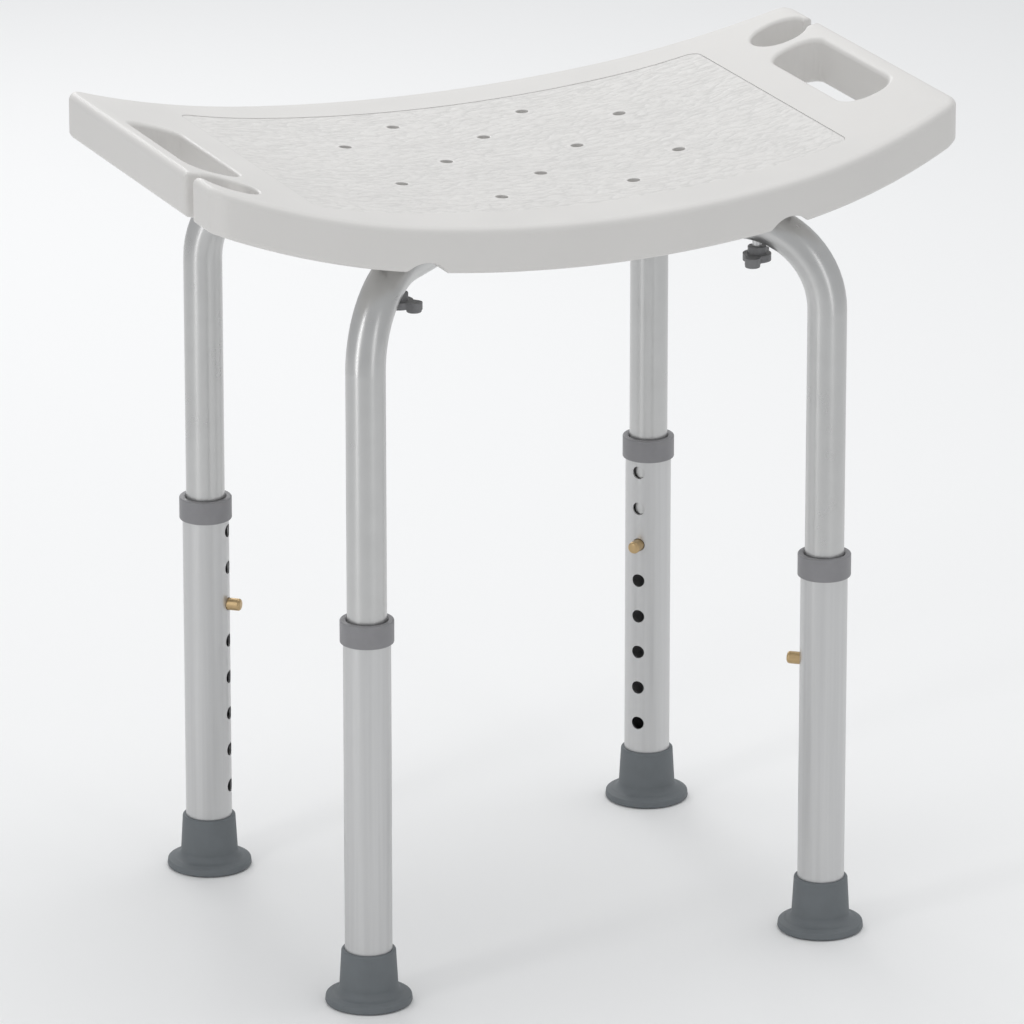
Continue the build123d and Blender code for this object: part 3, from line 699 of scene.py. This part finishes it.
# %% [markdown]
# ## Surfaces
#
# Each finish is a small tree of nodes on object coordinates, so it keeps its size in millimetres.
# Noise makes the roughness and the colour wander a little, as they do on real parts, and a fine
# bump gives the moulded or drawn surface. A stretched mapping turns the same noise into streaks.

# %% A finish made of noise
NOISE_LOW, NOISE_HIGH = 0.3, 0.7            # nearly all of the noise lies between these


def wander(nodes, links, source, stretch, size, detail=2.0):
    """Noise with features of a given size in metres. The stretch draws it out along an axis."""
    mapping = nodes.new("ShaderNodeMapping")
    mapping.inputs["Scale"].default_value = stretch
    links.new(source.outputs["Object"], mapping.inputs["Vector"])
    cloud = nodes.new("ShaderNodeTexNoise")
    cloud.inputs["Scale"].default_value = 1 / size
    cloud.inputs["Detail"].default_value = detail
    links.new(mapping.outputs["Vector"], cloud.inputs["Vector"])
    return cloud.outputs["Fac"]


def finish(name, colour, roughness, metallic=0.0, tint=0.03, patch=0.03, patch_stretch=(1, 1, 1),
           gloss=0.04, bump=0.1, grit=0.0008, grit_stretch=(1, 1, 1), depth=0.00005):
    """A surface: colour and roughness wander over patches, and a fine grit bumps it."""
    surface, tree, shader = paint(name, colour, roughness, metallic)
    nodes, links = tree.nodes, tree.links
    source = nodes.new("ShaderNodeTexCoord")
    patches = wander(nodes, links, source, patch_stretch, patch)

    shades = nodes.new("ShaderNodeValToRGB")
    shades.color_ramp.elements[0].position = NOISE_LOW
    shades.color_ramp.elements[1].position = NOISE_HIGH
    shades.color_ramp.elements[0].color = (*[c * (1 - tint) for c in colour], 1)
    shades.color_ramp.elements[1].color = (*[min(c * (1 + tint), 1) for c in colour], 1)
    links.new(patches, shades.inputs["Fac"])
    links.new(shades.outputs["Color"], shader.inputs["Base Color"])

    sheen = nodes.new("ShaderNodeMapRange")
    sheen.inputs["From Min"].default_value = NOISE_LOW
    sheen.inputs["From Max"].default_value = NOISE_HIGH
    sheen.inputs["To Min"].default_value = roughness - gloss
    sheen.inputs["To Max"].default_value = roughness + gloss
    links.new(patches, sheen.inputs["Value"])
    links.new(sheen.outputs["Result"], shader.inputs["Roughness"])

    relief = nodes.new("ShaderNodeBump")
    relief.inputs["Strength"].default_value = bump
    relief.inputs["Distance"].default_value = depth
    links.new(wander(nodes, links, source, grit_stretch, grit), relief.inputs["Height"])
    links.new(relief.outputs["Normal"], shader.inputs["Normal"])
    return surface


FINISHES = {
    "seat_plastic": finish("moulded_seat_plastic", (0.70, 0.685, 0.665), 0.46, tint=0.012, patch=0.05,
                           bump=0.35, grit=0.0011, depth=0.00006),
    "tube_satin": finish("satin_anodised_tube", (0.57, 0.57, 0.565), 0.30, 0.9, tint=0.03, patch=0.02,
                         gloss=0.03, bump=0.05, grit=0.0008, depth=0.00001),
    "tube_matt": finish("drawn_matt_tube", (0.60, 0.60, 0.60), 0.36, 0.8, tint=0.045, patch=0.0035,
                        patch_stretch=(1, 1, 0.02), gloss=0.05, bump=0.15, grit=0.0006,
                        grit_stretch=(1, 1, 0.05), depth=0.00002),
    "rivet_steel": finish("zinc_plated_steel", (0.62, 0.62, 0.62), 0.34, 1.0, tint=0.05, patch=0.003,
                          bump=0.2, grit=0.0006),
    "spring_steel": finish("spring_steel", (0.45, 0.45, 0.46), 0.30, 1.0, tint=0.05, patch=0.004,
                           bump=0.15, grit=0.0005),
    "insert_brass": finish("turned_brass", (0.74, 0.60, 0.36), 0.30, 1.0, tint=0.05, patch=0.003,
                           bump=0.2, grit=0.0004, grit_stretch=(0.2, 0.2, 1)),
    "button_brass": finish("satin_brass", (0.54, 0.39, 0.21), 0.34, 0.85, tint=0.04, patch=0.002,
                           bump=0.15, grit=0.0004),
    "bush_plastic": finish("black_bush_plastic", (0.03, 0.03, 0.032), 0.5, tint=0.1, patch=0.006,
                           bump=0.2, grit=0.0008),
    "collar_grey": finish("grey_collar_plastic", (0.248, 0.245, 0.255), 0.45, tint=0.04, patch=0.008,
                          bump=0.25, grit=0.0007),
    "knob_grey": finish("dark_knob_plastic", (0.195, 0.195, 0.20), 0.48, tint=0.05, patch=0.006,
                        bump=0.3, grit=0.0006),
    "foot_rubber": finish("blue_grey_rubber", (0.145, 0.160, 0.170), 0.62, tint=0.05, patch=0.010,
                          gloss=0.06, bump=0.4, grit=0.0007, depth=0.00008),
}


def paint_crease_shade(surface, amount):
    """Painted shade in the creases and along the panel's edge: multiply the colour down where "crease" is
    high.
    """
    nodes, links = surface.node_tree.nodes, surface.node_tree.links
    shader = nodes["Principled BSDF"]
    colour = shader.inputs["Base Color"].links[0].from_socket
    depth = nodes.new("ShaderNodeAttribute")
    depth.attribute_name = "crease"
    shade = nodes.new("ShaderNodeMapRange")
    shade.inputs["To Min"].default_value = 1.0
    shade.inputs["To Max"].default_value = 1 - amount
    links.new(depth.outputs["Fac"], shade.inputs["Value"])
    scale = nodes.new("ShaderNodeVectorMath")
    scale.operation = "SCALE"
    links.new(colour, scale.inputs[0])
    links.new(shade.outputs["Result"], scale.inputs["Scale"])
    links.new(scale.outputs["Vector"], shader.inputs["Base Color"])
    return surface


# The grained panel's plastic is a little lighter than the seat's, with painted shade multiplied into its
# creases and a painted shadow line round its edge.
grained = paint_crease_shade(
    finish("grained_plastic_with_painted_shade", (0.73, 0.715, 0.695), 0.46, tint=0.012, patch=0.05,
           bump=0.35, grit=0.0011, depth=0.00006), 0.15)
print("finishes:", len(FINISHES) + 1)

# %% [markdown]
# ## Dressing the stool
#
# The two new seat pieces get their finishes by hand. Every other part is a node of the
# engineering model, and the record says which finish each one has.

# %% Give every piece and every node its finish
for part, surface in ((seat, FINISHES["seat_plastic"]), (panel, grained)):
    part.data.materials.clear()
    part.data.materials.append(surface)
for row in frame["record"]["subparts"]:
    node = frame["nodes"][row["node"]]
    for place in node.material_slots:
        place.material = FINISHES[row["material_slot"]]
